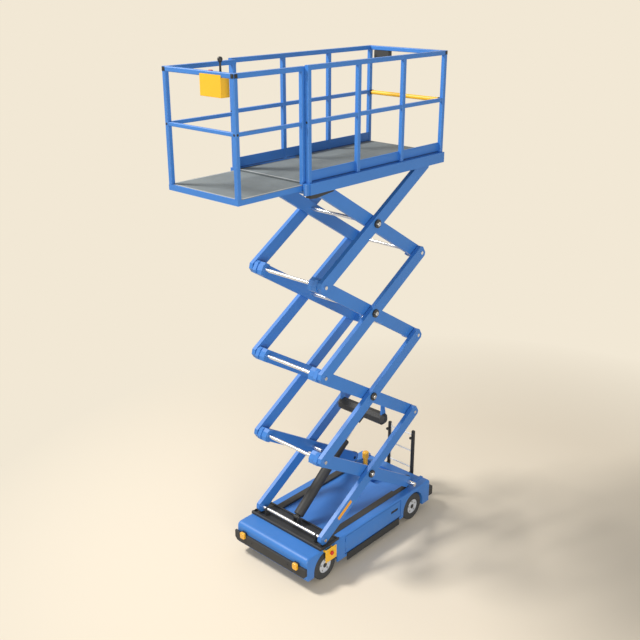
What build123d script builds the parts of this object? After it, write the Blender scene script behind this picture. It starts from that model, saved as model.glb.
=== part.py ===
# Four-stage electric scissor lift with a roll-out deck, drawn with the platform raised.
# Millimetres. +X is the roll-out end, +Y the left side, +Z up. The origin is on the floor,
# on the centre plane, half way between the axles.
import os
from math import sin, cos, radians, hypot

from build123d import *

os.makedirs("parts", exist_ok=True)

# Linkage
ARM_LEN = 1953.0          # pivot to pivot
ARM_DEPTH = 145.0
ARM_W = 50.0
REST_DEG = 31.82          # arm angle as drawn
STAGES = 4
FRONT_X = 815.0           # fixed pivots
BASE_Z = 507.0            # lowest pivots
A_IN = 485.0              # inner face of the outer arms
ARM_GAP = 10.0            # between outer and inner arms
BLOCK_W = 80.0            # end blocks stand this far inside the inner arms
BLOCK_HALF = 72.0
END_EXT = 60.0            # arm beyond its pivot
END_CUT = 42.0            # clipped corner at an arm's low end
HIGH_CUT = 28.0           # and at its high end
SHAFT_R = 20.0
PIN_OUT = 24.0            # pins stand this far outside the arms
RUN = 0.05                # radial play of a running fit
OPEN_RUN = 0.6            # radial play where the linkage is left open
SHOE_R = 79.0
SHOE_WALL = 7.5           # arm wall on each side of a shoe's slot
WASHER_R = 47.0
WASHER_T = 19.5
BOSS_R = 24.0
STUB_IN = 270.0           # inner end of the lowest centre pins
FOOT_END = 590.0          # outer end of the foot stubs
SLEEVE_R = 27.0

# Base
BODY_FRONT = 1165.0
BODY_REAR = -1188.0
BODY_HALF = 580.0
BODY_TOP = 422.0
BODY_BOT = 122.0
DECK_Z = 400.0            # recessed deck between the guide rails
DECK_FRONT = 596.0
POCKET_Z = 344.0          # pocket that the crossbeam folds into
POCKET_REAR, POCKET_FRONT = -1060.0, -660.0
POCKET_HALF = 404.0
EAR_SLOT_Z = 298.0        # slot below the pocket for the crossbeam's ears
RAIL_IN, RAIL_OUT = 426.0, 470.0
LEDGE_IN = 380.0          # the rails widen to here ahead of the pocket
LEDGE_REAR = -870.0       # end of the narrow ledge beside the pocket
SADDLE_IN, SADDLE_OUT = 397.0, 421.0
RAIL_TOP = BASE_Z - SHOE_R - 0.7
HOOD_R = 62.0
DOOR_FRONT, DOOR_REAR = 490.0, -568.0
DOOR_BOT, DOOR_TOP = 165.0, 396.0
DOOR_OUT = 576.0
DOOR_T = 19.5
DOOR_GAP = 9.0
SKIRT_T = 10.0
BUMPER_T = 30.0
BUMPER_Z0, BUMPER_Z1 = 184.0, 312.0
LAMP_Y = 438.0
LAMP_HALF = 37.0

# Wheels
WHEEL_X = 835.0
TYRE_R = 182.0
RIM_R = 96.0
TYRE_IN, TYRE_OUT = 462.0, 572.0
KING_Y = 425.0
KING_R = 14.0
SPINDLE_R = 30.0
SPINDLE_OUT = TYRE_OUT - 5.0
ARCH_R = 202.0

# Platform
FLOOR_LIFT = 101.0        # main floor above the top pivots
SIDE_H = 114.0            # depth of the side channels
PLAT_REAR, PLAT_FRONT = -1148.0, 1064.0
PLAT_HALF = 573.0
SIDE_T = 8.0
NOSE_R = 24.0             # round nose ahead of the left side channel
NOSE_LEN = 32.0
NOSE_Y = 538.0
FLOOR_T = 6.0
STRIP_IN = 502.0          # inner edge of the side channels' top strip
CAGE_HALF = 549.0
TUBE = 47.0
MID_TUBE = 40.0
RAIL_H = 1103.5           # guard rail over the main floor
MID_H = 579.0
TOE_H = 107.0
TOE_GAP = 8.0
POST_GAPS = 3
ENTRY_R = 24.0

# Roll-out deck, drawn rolled out
EXT_FRONT = 1938.0
EXT_HALF = 496.0
EXT_TUBE = 46.0
EXT_MID_TUBE = 36.0
EXT_DROP = 16.0           # roll-out floor below the main floor
EXT_DEPTH = 58.0
EXT_REAR = 1000.0
EXT_TRAVEL = 875.0
EXT_POST_REAR = 1070.0
EXT_PLATE = 5.0
EXT_SIDE_T = 14.0
BOX_Y0, BOX_Y1 = 47.0, 328.0

# Lift cylinder
CYL_X, CYL_Z = 715.0, 525.0       # lower pin
BEAM_X, BEAM_Z = -475.0, 1507.0   # crossbeam axis
BEAM_R = 72.0
BEAM_HALF = 370.0
BEAM_BEVEL = 34.0
BARREL_R = 62.0
BARREL_LEN = 1112.0
BARREL_FOOT = 30.0
ROD_R = 30.0
ROD_LEN = 1021.0
EYE_BACK = 128.0          # rod eye short of the crossbeam's axis
EYE_HALF = 26.0
CYL_PIN_R = 14.0

ANGLE = radians(REST_DEG)
RISE = ARM_LEN * sin(ANGLE)
REACH = ARM_LEN * cos(ANGLE)
REAR_X = FRONT_X - REACH
A_OUT = A_IN + ARM_W
B_OUT = A_IN - ARM_GAP
B_IN = B_OUT - ARM_W
BLOCK_IN = B_IN - BLOCK_W
PIN_END = A_OUT + PIN_OUT

TOP_PIVOT_Z = BASE_Z + STAGES * RISE
PLAT_TOP = TOP_PIVOT_Z + FLOOR_LIFT
PLAT_BOT = PLAT_TOP - SIDE_H
RAIL_Z = PLAT_TOP + RAIL_H - TUBE / 2
MID_Z = PLAT_TOP + MID_H
POST_Y = CAGE_HALF - TUBE / 2
POST_STEP = (PLAT_FRONT - PLAT_REAR - TUBE) / POST_GAPS
POST_X = [PLAT_FRONT - TUBE / 2 - k * POST_STEP for k in range(POST_GAPS + 1)]
EXT_TOP = PLAT_TOP - EXT_DROP
EXT_BOT = EXT_TOP - EXT_DEPTH
EXT_RAIL_Z = PLAT_TOP + RAIL_H - 12 - EXT_TUBE / 2
EXT_MID_Z = MID_Z - 15
EXT_POST_Y = EXT_HALF - EXT_TUBE / 2
EXT_POST_FRONT = EXT_FRONT - EXT_TUBE / 2


def front(i):
    return FRONT_X, BASE_Z + i * RISE


def rear(i):
    return REAR_X, BASE_Z + i * RISE


def mid(i):
    return (FRONT_X + REAR_X) / 2, BASE_Z + (i - 0.5) * RISE


def box(x0, x1, y0, y1, z0, z1):
    return Pos((x0 + x1) / 2, (y0 + y1) / 2, (z0 + z1) / 2) * Box(x1 - x0, y1 - y0, z1 - z0)


def side_box(x0, x1, sy, y0, y1, z0, z1):
    """A box on the left (sy 1) or right (sy -1), y0 and y1 measured outwards."""
    ya, yb = sorted((sy * y0, sy * y1))
    return box(x0, x1, ya, yb, z0, z1)


def both(make):
    """The same solid on the left and, mirrored, on the right."""
    s = make()
    return [s, mirror(s, about=Plane.XZ)]


def rod_y(x, z, r, y0, y1):
    return Pos(x, (y0 + y1) / 2, z) * Rot(90, 0, 0) * Cylinder(r, abs(y1 - y0))


def rod_x(y, z, r, x0, x1):
    return Pos((x0 + x1) / 2, y, z) * Rot(0, 90, 0) * Cylinder(r, x1 - x0)


def rod_z(x, y, r, z0, z1):
    return Pos(x, y, (z0 + z1) / 2) * Cylinder(r, z1 - z0)


def slab(pts, y0, y1):
    """A plate with its outline in X and Z, from y0 to y1."""
    pl = Plane(origin=(0, y1, 0), x_dir=(1, 0, 0), z_dir=(0, -1, 0))
    return extrude(pl * Polygon(*pts, align=None), amount=y1 - y0, dir=(0, -1, 0))


def soft_box(x0, x1, y0, y1, z0, z1, r, axis):
    """A box with the four edges along one axis rounded."""
    b = box(x0, x1, y0, y1, z0, z1)
    return fillet(b.edges().filter_by(axis), r)


def along(p, d, u, v):
    """A point u along direction d from p and v to its left."""
    return p[0] + u * d[0] - v * d[1], p[1] + u * d[1] + v * d[0]


def direction(p, q):
    run = hypot(q[0] - p[0], q[1] - p[1])
    return (q[0] - p[0]) / run, (q[1] - p[1]) / run


def joined(parts):
    s = parts[0]
    for q in parts[1:]:
        s = s + q
    return s


def flat(s):
    """The solids of a shape as a plain list."""
    return list(s.solids())


def save(node, shapes):
    if not isinstance(shapes, (list, tuple)):
        shapes = [shapes]
    out = []
    for s in shapes:
        out += flat(s)
    export_step(out[0] if len(out) == 1 else Compound(children=out), f"parts/{node}.step")


# Scissor arms

def arm_outline(p, d):
    half = ARM_DEPTH / 2
    far = ARM_LEN + END_EXT
    pts = [(-END_EXT, half - END_CUT), (END_CUT - END_EXT, half), (far - HIGH_CUT, half), (far, half - HIGH_CUT),
           (far, HIGH_CUT - half), (far - HIGH_CUT, -half), (END_CUT - END_EXT, -half), (-END_EXT, END_CUT - half)]
    return [along(p, d, u, v) for u, v in pts]


def shoe_slot(p, d, y0, y1):
    """The slot at an arm's end in which its shoe sits."""
    r = SHOE_R + 14
    pts = [along(p, d, u, v) for u, v in ((-r, -r), (r, -r), (r, r), (-r, r))]
    return slab(pts, y0 + SHOE_WALL, y1 - SHOE_WALL)


def outer_arm(i):
    """Outer arm of stage i: low at the front, high at the rear."""
    p = front(i - 1)
    q = rear(i)
    d = direction(p, q)
    s = slab(arm_outline(p, d), A_IN, A_OUT)
    s -= rod_y(*p, SHAFT_R + RUN, A_IN - 5, A_OUT + 5)
    s -= rod_y(*mid(i), SHAFT_R + RUN, A_IN - 5, A_OUT + 5)
    s -= rod_y(*q, SHAFT_R, A_IN - 5, A_OUT + 5)
    if i == STAGES:
        s -= shoe_slot(q, d, A_IN, A_OUT)
    return s


def end_block(p, d, way):
    """Block inside the arm's end at p; way is 1 at its start and -1 at its end."""
    b = BLOCK_HALF
    pts = [(-50, 30), (-28, b), (42, b), (42, -b), (-28, -b), (-50, -30)]
    return slab([along(p, d, way * u, v) for u, v in pts], BLOCK_IN, B_IN)


def inner_arm(i):
    """Inner arm of stage i: low at the rear, high at the front, with its end blocks."""
    p = rear(i - 1)
    q = front(i)
    d = direction(p, q)
    s = slab(arm_outline(p, d), B_IN, B_OUT)
    if i > 1:
        s += end_block(p, d, 1)
        s -= rod_y(*p, SHAFT_R + OPEN_RUN, BLOCK_IN - 5, B_OUT + 5)
    else:
        s -= rod_y(*p, SHAFT_R, B_IN - 5, B_OUT + 5)
        s -= shoe_slot(p, d, B_IN, B_OUT)
    s += end_block(q, d, -1)
    s -= rod_y(*q, SHAFT_R, BLOCK_IN - 5, B_OUT + 5)
    s -= rod_y(*mid(i), SHAFT_R, BLOCK_IN - 5, B_OUT + 5)
    if i == 2:
        s += crank(p, d)
    return s


def crank(p, d):
    """Plate and spacer on the second stage's inner arm that carry the lift crossbeam."""
    plate = [along(p, d, u, v) for u, v in ((356, -200), (440, -60), (440, 24), (385, 24), (385, -50), (260, -180))]
    spacer = [along(p, d, u, v) for u, v in ((385, -50), (385, 20), (440, 20), (440, -50))]
    out_y = BEAM_HALF - BEAM_BEVEL
    s = slab(plate, out_y - 20, out_y) - slab(beam_outline(), out_y - 30, out_y + 30)
    return s + slab(spacer, out_y - 5, B_IN)


def rear_shaft(i):
    """Shaft through the top of outer arm i and the bottom of inner arm i + 1."""
    x, z = rear(i)
    end = A_OUT + 12
    s = rod_y(x, z, SHAFT_R, -end, end)
    if i == STAGES:
        s += joined(both(lambda: rod_y(x, z, SHOE_R, A_IN + SHOE_WALL + 0.5, A_OUT - SHOE_WALL - 0.5)))
    return s


def front_shaft(i):
    """Chrome cross tube of stage i, its ends the pins of the next outer arms or of the platform."""
    x, z = front(i)
    end = A_OUT + 9 if i == STAGES else PIN_END
    s = rod_y(x, z, SHAFT_R, -end, end)
    if i < STAGES:
        s += joined(both(lambda: rod_y(x, z, 0.75 * SHAFT_R, end - 14, end)))
    return s


def centre_pins(i):
    """Centre pins of stage i with thrust ring, black washer and boss."""
    x, z = mid(i)
    inner = STUB_IN if i == 1 else 0.0
    washer = A_OUT + 0.5

    def one():
        s = rod_y(x, z, SHAFT_R, inner, washer + WASHER_T + 18)
        s += rod_y(x, z, WASHER_R - 3, B_OUT + 0.5, A_IN - 0.5)
        s += rod_y(x, z, WASHER_R, washer, washer + WASHER_T)
        s += rod_y(x, z, BOSS_R, washer + WASHER_T, washer + WASHER_T + 12)
        return s
    left, right = both(one)
    return [left, right] if i == 1 else [left + right]


def foot_shaft():
    """Stub with sleeve and sliding shoe at the foot of each first inner arm."""
    x, z = rear(0)

    def one():
        s = rod_y(x, z, SHAFT_R, B_IN - 4, FOOT_END)
        s += rod_y(x, z, SLEEVE_R, B_OUT + 0.5, FOOT_END - 3)
        return s + rod_y(x, z, SHOE_R, B_IN + SHOE_WALL + 0.5, B_OUT - SHOE_WALL - 0.5)
    return both(one)


# Lift cylinder

CYL_LEN = hypot(BEAM_X - CYL_X, BEAM_Z - CYL_Z)
CYL_DIR = direction((CYL_X, CYL_Z), (BEAM_X, BEAM_Z))
EYE_AT = CYL_LEN - EYE_BACK
EAR_IN = EYE_HALF + 8
EAR_T = 14.0


def beam_outline():
    """The crossbeam's octagon, with flats above, below, ahead and behind."""
    corner = BEAM_R / cos(radians(22.5))
    turns = [radians(22.5 + 45 * k) for k in range(8)]
    return [(BEAM_X + corner * cos(t), BEAM_Z + corner * sin(t)) for t in turns]


def crossbeam():
    s = slab(beam_outline(), -BEAM_HALF, BEAM_HALF)
    ends = s.faces().sort_by(Axis.Y)
    return chamfer(ends[-1].edges() + ends[0].edges(), BEAM_BEVEL)


def beam_ear():
    """Ear on the crossbeam beside the rod's eye."""
    e = along((CYL_X, CYL_Z), CYL_DIR, EYE_AT, 0)
    pts = [(-26, 24), (-26, -24), (75, -42), (75, 42)]
    return slab([along(e, CYL_DIR, u, v) for u, v in pts], EAR_IN, EAR_IN + EAR_T)


def lift_beam():
    return joined([crossbeam()] + both(beam_ear))


def cyl_frame(u):
    """A frame on the cylinder's line, u from the lower pin, its Z along the rod."""
    x, z = along((CYL_X, CYL_Z), CYL_DIR, u, 0)
    return Plane(origin=(x, 0, z), x_dir=(0, 1, 0), z_dir=(CYL_DIR[0], 0, CYL_DIR[1]))


def tube_on_line(r, u0, u1):
    return extrude(cyl_frame(u0) * Circle(r), amount=u1 - u0)


def barrel():
    bore_foot = BARREL_FOOT + 70
    s = tube_on_line(BARREL_R, BARREL_FOOT, BARREL_LEN)
    s = chamfer(s.edges().filter_by(GeomType.CIRCLE), 5)
    s -= tube_on_line(ROD_R + 4.0, bore_foot, BARREL_LEN - 50)
    s -= tube_on_line(ROD_R + RUN, BARREL_LEN - 60, BARREL_LEN + 5)
    eye = rod_y(CYL_X, CYL_Z, 24, 2 - EYE_HALF, EYE_HALF - 2)
    neck = extrude(cyl_frame(0) * Rectangle(2 * EYE_HALF - 4, 36), amount=BARREL_FOOT + 5)
    return s + eye + neck - rod_y(CYL_X, CYL_Z, CYL_PIN_R + RUN, -EYE_HALF - 5, EYE_HALF + 5)


def rod():
    s = tube_on_line(ROD_R, EYE_AT - 34 - ROD_LEN, EYE_AT - 34)
    s += extrude(cyl_frame(EYE_AT - 60) * Rectangle(2 * EYE_HALF, 34), amount=60)
    x, z = along((CYL_X, CYL_Z), CYL_DIR, EYE_AT, 0)
    return s + rod_y(x, z, 22, -EYE_HALF, EYE_HALF)


# Base

def arch(x, sy):
    """Wheel arch through the body's side."""
    y0, y1 = sorted((sy * (BODY_HALF - 40), sy * (BODY_HALF + 20)))
    return rod_y(x, TYRE_R, ARCH_R, y0, y1) + box(x - ARCH_R, x + ARCH_R, y0, y1, 0, TYRE_R)


def hood_block():
    side = [(BODY_REAR, BODY_TOP), (BODY_REAR, BODY_BOT), (BODY_FRONT - 30, BODY_BOT),
            (BODY_FRONT, BODY_BOT + 30), (BODY_FRONT, BODY_TOP)]
    s = slab(side, -BODY_HALF, BODY_HALF)
    top = [e for e in s.edges().filter_by(Axis.Y) if e.center().Z > BODY_TOP - 1 and e.center().X > 0]
    s = fillet(top, HOOD_R)
    upright = [e for e in s.edges() if abs(e.center().X - BODY_FRONT) < 1 and abs(abs(e.center().Y) - BODY_HALF) < 1]
    s = fillet(upright, 26)
    rear_corner = [e for e in s.edges().filter_by(Axis.Z) if abs(e.center().X - BODY_REAR) < 1]
    return fillet(rear_corner, 18)


def chassis_body():
    s = hood_block()
    # recessed deck, open at its rear end so that the arms' feet pass over it
    s -= box(BODY_REAR - 12, DECK_FRONT, -RAIL_IN, RAIL_IN, DECK_Z, BODY_TOP + 40)
    s -= box(POCKET_REAR, POCKET_FRONT, -POCKET_HALF, POCKET_HALF, POCKET_Z, BODY_TOP)
    s -= box(POCKET_REAR + 160, POCKET_FRONT, -EAR_IN - 28, EAR_IN + 28, EAR_SLOT_Z, POCKET_Z + 5)
    bay_out = BODY_HALF - 20
    for sy in (1, -1):
        s -= arch(WHEEL_X, sy) + arch(-WHEEL_X, sy)
        # steering well, rear wheel well, then the battery bay behind the side door
        s -= side_box(WHEEL_X - 245, WHEEL_X + 245, sy, KING_Y - 70, bay_out, 0, BODY_TOP - 27)
        s -= side_box(-WHEEL_X - ARCH_R + 5, -WHEEL_X + ARCH_R - 5, sy, TYRE_IN - 15, bay_out, 0, TYRE_R + ARCH_R)
        s -= side_box(DOOR_REAR + 8, DOOR_FRONT - 10, sy, 240, BODY_HALF + 20, DOOR_BOT + 7, DECK_Z - 15)
        s -= side_box(DOOR_REAR - DOOR_GAP, DOOR_FRONT + DOOR_GAP, sy, DOOR_OUT - DOOR_T - 0.5, BODY_HALF + 20,
                      DOOR_BOT - DOOR_GAP, DOOR_TOP + DOOR_GAP)
    return s


def battery_blocks():
    return both(lambda: soft_box(DOOR_REAR + 68, DOOR_FRONT - 70, 262, 520, DOOR_BOT + 7, DECK_Z - 38, 12, Axis.Z))


HINGE_R = 6.0
HINGE_X = DOOR_FRONT - 1.5
HINGE_Y = DOOR_OUT + HINGE_R + 1


def side_door(sy):
    """Door with a handle slot and two hinge barrels at its front edge."""
    s = side_box(DOOR_REAR, DOOR_FRONT, sy, DOOR_OUT - DOOR_T, DOOR_OUT, DOOR_BOT, DOOR_TOP)
    s -= side_box(DOOR_REAR + 43, DOOR_REAR + 183, sy, DOOR_OUT - 6, DOOR_OUT + 5, DOOR_TOP - 116, DOOR_TOP - 80)
    for z in (DOOR_BOT + 25, DOOR_TOP - 65):
        s += rod_z(HINGE_X, sy * HINGE_Y, HINGE_R, z, z + 40)
        s += side_box(HINGE_X - 30, HINGE_X, sy, DOOR_OUT - 1, DOOR_OUT + 3, z, z + 40)
    return s


def guide_rail():
    """Track of the foot shoes, with a ledge on its inner side."""
    end = DECK_FRONT - 3
    s = box(BODY_REAR + 2, end, RAIL_IN, RAIL_OUT, BODY_TOP, RAIL_TOP)
    s += box(LEDGE_REAR, end, POCKET_HALF, RAIL_IN, DECK_Z, RAIL_TOP)
    return s + box(POCKET_FRONT + 20, end, LEDGE_IN, RAIL_IN, DECK_Z, RAIL_TOP)


CHANNEL_REAR, CHANNEL_FRONT = FRONT_X - 215, FRONT_X + 110
CHANNEL_HALF = BODY_HALF - 6
CHANNEL_T = 5.0
CHANNEL_Z = BODY_TOP + CHANNEL_T


def front_channel():
    """Tray across the hood with the saddles of the lowest pivots and the cylinder's ears."""
    h = CHANNEL_HALF
    s = box(CHANNEL_REAR, CHANNEL_FRONT, -h, h, BODY_TOP, CHANNEL_Z)
    lip = box(CHANNEL_FRONT - 30, CHANNEL_FRONT, -h, h, BODY_TOP, BODY_TOP + 36)
    s += fillet(lip.edges().filter_by(Axis.Y).sort_by(Axis.Z)[-2:], 12)
    s += box(CHANNEL_REAR, CHANNEL_REAR + 22, -h, h, BODY_TOP, BODY_TOP + 18)
    for sy in (1, -1):
        s += side_box(CHANNEL_REAR, CHANNEL_FRONT, sy, h - 8, h, BODY_TOP, BODY_TOP + 30)
        saddle = side_box(FRONT_X - 32, FRONT_X + 32, sy, SADDLE_IN, SADDLE_OUT, BODY_TOP, BASE_Z)
        y0, y1 = sorted((sy * SADDLE_IN, sy * SADDLE_OUT))
        s += saddle + rod_y(FRONT_X, BASE_Z, SHAFT_R + 7, y0, y1)
        s += side_box(CYL_X - 22, CYL_X + 22, sy, EYE_HALF + 1, EYE_HALF + 17, BODY_TOP, CYL_Z)
        y0, y1 = sorted((sy * (EYE_HALF + 1), sy * (EYE_HALF + 17)))
        s += rod_y(CYL_X, CYL_Z, 23, y0, y1)
    s -= rod_y(FRONT_X, BASE_Z, SHAFT_R, -h, h)
    return s - rod_y(CYL_X, CYL_Z, CYL_PIN_R, -60, 60)


def base_shaft():
    return [rod_y(FRONT_X, BASE_Z, SHAFT_R, -PIN_END, PIN_END),
            rod_y(CYL_X, CYL_Z, CYL_PIN_R, -EYE_HALF - 20, EYE_HALF + 20)]


def bumpers():
    """Front bumper with clipped lower corners, and two rear corner buffers."""
    h = BODY_HALF + 10
    cut = 36
    pts = [(-h, BUMPER_Z1), (h, BUMPER_Z1), (h, BUMPER_Z0 + cut), (h - cut, BUMPER_Z0), (cut - h, BUMPER_Z0),
           (-h, BUMPER_Z0 + cut)]
    pl = Plane(origin=(BODY_FRONT, 0, 0), x_dir=(0, 1, 0), z_dir=(1, 0, 0))
    bar = extrude(pl * Polygon(*pts, align=None), amount=BUMPER_T, dir=(1, 0, 0))
    bar = fillet(bar.faces().sort_by(Axis.X)[-1].edges(), 6)
    buffer = soft_box(BODY_REAR - 96, BODY_REAR, BODY_HALF - 160, BODY_HALF - 20, 162, 290, 12, Axis.Y)
    return [bar, buffer, mirror(buffer, about=Plane.XZ)]


BEACON_X, BEACON_Y, BEACON_R = -1006.0, -368.0, 46.0
BEACON_NECK, BEACON_Z, BEACON_TOP = 33.0, 466.0, 556.0


def beacon():
    """Round flashing lamp on a narrower neck."""
    head = rod_z(BEACON_X, BEACON_Y, BEACON_R, BEACON_Z, BEACON_TOP)
    head = fillet(head.edges().filter_by(GeomType.CIRCLE).sort_by(Axis.Z)[-1], 22)
    return head + rod_z(BEACON_X, BEACON_Y, BEACON_NECK, POCKET_Z, BEACON_Z + 2)


def lamps():
    x = BODY_FRONT + BUMPER_T
    out = []
    for y in (-LAMP_Y, LAMP_Y):
        b = box(x, x + 26, y - LAMP_HALF, y + LAMP_HALF, BUMPER_Z1 - 50, BUMPER_Z1 + 32)
        b = fillet(b.edges().filter_by(Axis.X), 18)
        out.append(fillet(b.faces().sort_by(Axis.X)[-1].edges(), 6))
    return out + [beacon()]


LADDER_X = BODY_REAR - 87
LADDER_Y = 22.0           # the ladder stands a little left of the centre plane
LADDER_HALF = 195.0
LADDER_R = 25.0
KNOB_R = 20.0
RUNG_STEP = 245.0
RUNG_Z = 183.0
LADDER_TOP = 980.0


def ladder():
    """Two posts with four rungs, held off the body, each post with a knob near its top."""
    parts = []
    low, high = LADDER_Y - LADDER_HALF, LADDER_Y + LADDER_HALF
    knob_z = LADDER_TOP - 88
    for y in (low, high):
        p = rod_z(LADDER_X, y, LADDER_R, RUNG_Z - 40, LADDER_TOP - 8)
        p += rod_z(LADDER_X, y, LADDER_R - 6, LADDER_TOP - 20, LADDER_TOP)
        p += box(LADDER_X, BODY_REAR, y - 14, y + 14, BODY_TOP - 80, BODY_TOP - 50)
        p += box(LADDER_X, BODY_REAR, y - 14, y + 14, BODY_BOT + 58, BODY_BOT + 88)
        p += rod_x(y, knob_z, 9, LADDER_X, LADDER_X + 50)
        parts.append(p + Pos(LADDER_X + 55, y, knob_z) * Sphere(KNOB_R))
    for k in range(4):
        parts.append(rod_y(LADDER_X, RUNG_Z + k * RUNG_STEP, 10, low, high))
    return joined(parts)


def skirt():
    x0, x1 = DOOR_REAR + 28, DOOR_FRONT - 25
    return soft_box(x0, x1, BODY_HALF, BODY_HALF + SKIRT_T, BODY_BOT - 60, DOOR_BOT - 5, 5, Axis.Y)


PLATE_Y = BODY_HALF + 56      # clears the steered wheel
PLATE_X0, PLATE_X1 = WHEEL_X - 115, WHEEL_X + 70
PLATE_Z0, PLATE_Z1 = 282.0, 447.0


def control_plate():
    """Emergency lowering and stop plate on two stand-off arms over the wheel."""
    s = soft_box(PLATE_X0, PLATE_X1, PLATE_Y, PLATE_Y + 6, PLATE_Z0, PLATE_Z1, 6, Axis.Y)
    for x in (PLATE_X0 + 25, PLATE_X1 - 40):
        s += box(x, x + 20, BODY_HALF, PLATE_Y, BODY_TOP - 20, BODY_TOP - 4)
    return s


STOP_X, STOP_Z = WHEEL_X - 22, 383.0


def stop_button():
    y = PLATE_Y + 6
    s = rod_y(STOP_X, STOP_Z, 17, y, y + 10)
    cap = rod_y(STOP_X, STOP_Z, 25, y + 10, y + 22)
    return s + fillet(cap.edges().filter_by(GeomType.CIRCLE).sort_by(Axis.Y)[-1], 5)


def axle_brackets():
    out = []
    for sy in (1, -1):
        for z0, z1 in ((252, 276), (96, 120)):
            s = side_box(WHEEL_X - 30, WHEEL_X + 30, sy, KING_Y - 70, KING_Y, z0, z1)
            s += rod_z(WHEEL_X, sy * KING_Y, 30, z0, z1)
            if z0 < TYRE_R:
                s += side_box(WHEEL_X - 60, WHEEL_X + 60, sy, KING_Y - 95, KING_Y - 49, z0, BODY_BOT)
            s -= rod_z(WHEEL_X, sy * KING_Y, KING_R + RUN, z0 - 5, z1 + 5)
            out.append(s)
        ya, yb = sorted((sy * (TYRE_IN - 15), sy * (TYRE_IN - 5)))
        yc, yd = sorted((sy * (TYRE_IN - 15), sy * SPINDLE_OUT))
        out.append(rod_y(-WHEEL_X, TYRE_R, 62, ya, yb) + rod_y(-WHEEL_X, TYRE_R, SPINDLE_R, yc, yd))
    return out


def knuckle(sy):
    s = rod_z(WHEEL_X, sy * KING_Y, 31, 126, 246) + rod_z(WHEEL_X, sy * KING_Y, KING_R, 90, 282)
    ya, yb = sorted((sy * KING_Y, sy * SPINDLE_OUT))
    return s + rod_y(WHEEL_X, TYRE_R, SPINDLE_R, ya, yb)


def tyre(x, sy):
    ya, yb = sorted((sy * TYRE_IN, sy * TYRE_OUT))
    s = rod_y(x, TYRE_R, TYRE_R, ya, yb)
    s = fillet(s.edges().filter_by(GeomType.CIRCLE), 16)
    return s - rod_y(x, TYRE_R, RIM_R, ya - 5, yb + 5)


def rim(x, sy):
    """Dished rim with a raised lip and hub."""
    def disc(r, y0, y1):
        a, b = sorted((sy * y0, sy * y1))
        return rod_y(x, TYRE_R, r, a, b)
    s = disc(RIM_R, TYRE_IN + 6, TYRE_OUT - 6)
    s -= disc(RIM_R - 8, TYRE_OUT - 13, TYRE_OUT + 5)
    s += disc(SPINDLE_R + 18, TYRE_OUT - 20, TYRE_OUT - 8)
    s -= disc(RIM_R - 14, TYRE_IN - 10, TYRE_IN + 40) - disc(SPINDLE_R + 22, TYRE_IN - 8, TYRE_IN + 42)
    return s - disc(SPINDLE_R + RUN, TYRE_IN - 20, TYRE_OUT + 5)


# Platform

TRACK_Z = TOP_PIVOT_Z + SHOE_R + 1.6
STRIP_T = 10.0
RUNNER_Y0, RUNNER_Y1 = 200.0, 240.0
RUNNER_Z = EXT_BOT + 9
RUNNER_REAR = 650.0


def platform_frame():
    parts = []
    for sy in (1, -1):
        parts.append(side_box(PLAT_REAR, PLAT_FRONT, sy, PLAT_HALF - SIDE_T, PLAT_HALF, PLAT_BOT, PLAT_TOP))
        parts.append(side_box(PLAT_REAR, PLAT_FRONT, sy, STRIP_IN, PLAT_HALF, PLAT_TOP - STRIP_T, PLAT_TOP))
        parts.append(side_box(PLAT_FRONT - 8, PLAT_FRONT, sy, STRIP_IN, PLAT_HALF, PLAT_BOT, PLAT_TOP))
    parts.append(box(PLAT_FRONT - 4, PLAT_FRONT + NOSE_LEN, NOSE_Y - NOSE_R, NOSE_Y + NOSE_R, PLAT_BOT, PLAT_TOP))
    parts.append(rod_z(PLAT_FRONT + NOSE_LEN, NOSE_Y, NOSE_R, PLAT_BOT, PLAT_TOP))
    # front cross channel and the pads that the roll-out deck runs on
    parts.append(box(PLAT_FRONT - 39, PLAT_FRONT, -PLAT_HALF + 3, PLAT_HALF - 3, PLAT_BOT, PLAT_BOT + 33))
    pad_mid = (RUNNER_Y0 + RUNNER_Y1) / 2
    for y in (-pad_mid, pad_mid):
        parts.append(box(PLAT_FRONT - 39, PLAT_FRONT - 24, y - 28, y + 28, PLAT_BOT + 33, RUNNER_Z - 0.3))
    # rear web over the top shaft, notched for the shoes
    web = box(PLAT_REAR, PLAT_REAR + 8, -PLAT_HALF + 3, PLAT_HALF - 3, TOP_PIVOT_Z + SHAFT_R + 8, PLAT_TOP - FLOOR_T)
    for sy in (1, -1):
        web -= side_box(PLAT_REAR - 5, PLAT_REAR + 20, sy, B_IN - 15, A_OUT + 17, PLAT_BOT - 5, TRACK_Z + 3)
    parts.append(web)
    for x in (-330, -700):
        parts.append(box(x, x + 50, -460, 460, PLAT_TOP - 72, PLAT_TOP - FLOOR_T))
        parts.append(box(x, x + 50, -STRIP_IN, STRIP_IN, PLAT_TOP - STRIP_T, PLAT_TOP - FLOOR_T))
    return joined(parts)


def platform_floor():
    """Main floor with a folded nose at the front, slotted for the roll-out deck's posts."""
    s = box(PLAT_REAR + 8, PLAT_FRONT, -STRIP_IN, STRIP_IN, PLAT_TOP - FLOOR_T, PLAT_TOP)
    slot_in = EXT_POST_Y - EXT_TUBE / 2 - 6
    s += box(PLAT_FRONT - 6, PLAT_FRONT, 12 - slot_in, slot_in - 12, EXT_TOP + 5, PLAT_TOP)
    slot_rear = EXT_POST_REAR - EXT_TRAVEL - EXT_TUBE / 2 - 6
    for sy in (1, -1):
        s -= side_box(slot_rear, PLAT_FRONT + 5, sy, slot_in, STRIP_IN + 5, EXT_TOP - 5, PLAT_TOP + 5)
    return s


def post(x, y, z0, z1, w):
    return soft_box(x - w / 2, x + w / 2, y - w / 2, y + w / 2, z0, z1, w * 0.16, Axis.Z)


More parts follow.
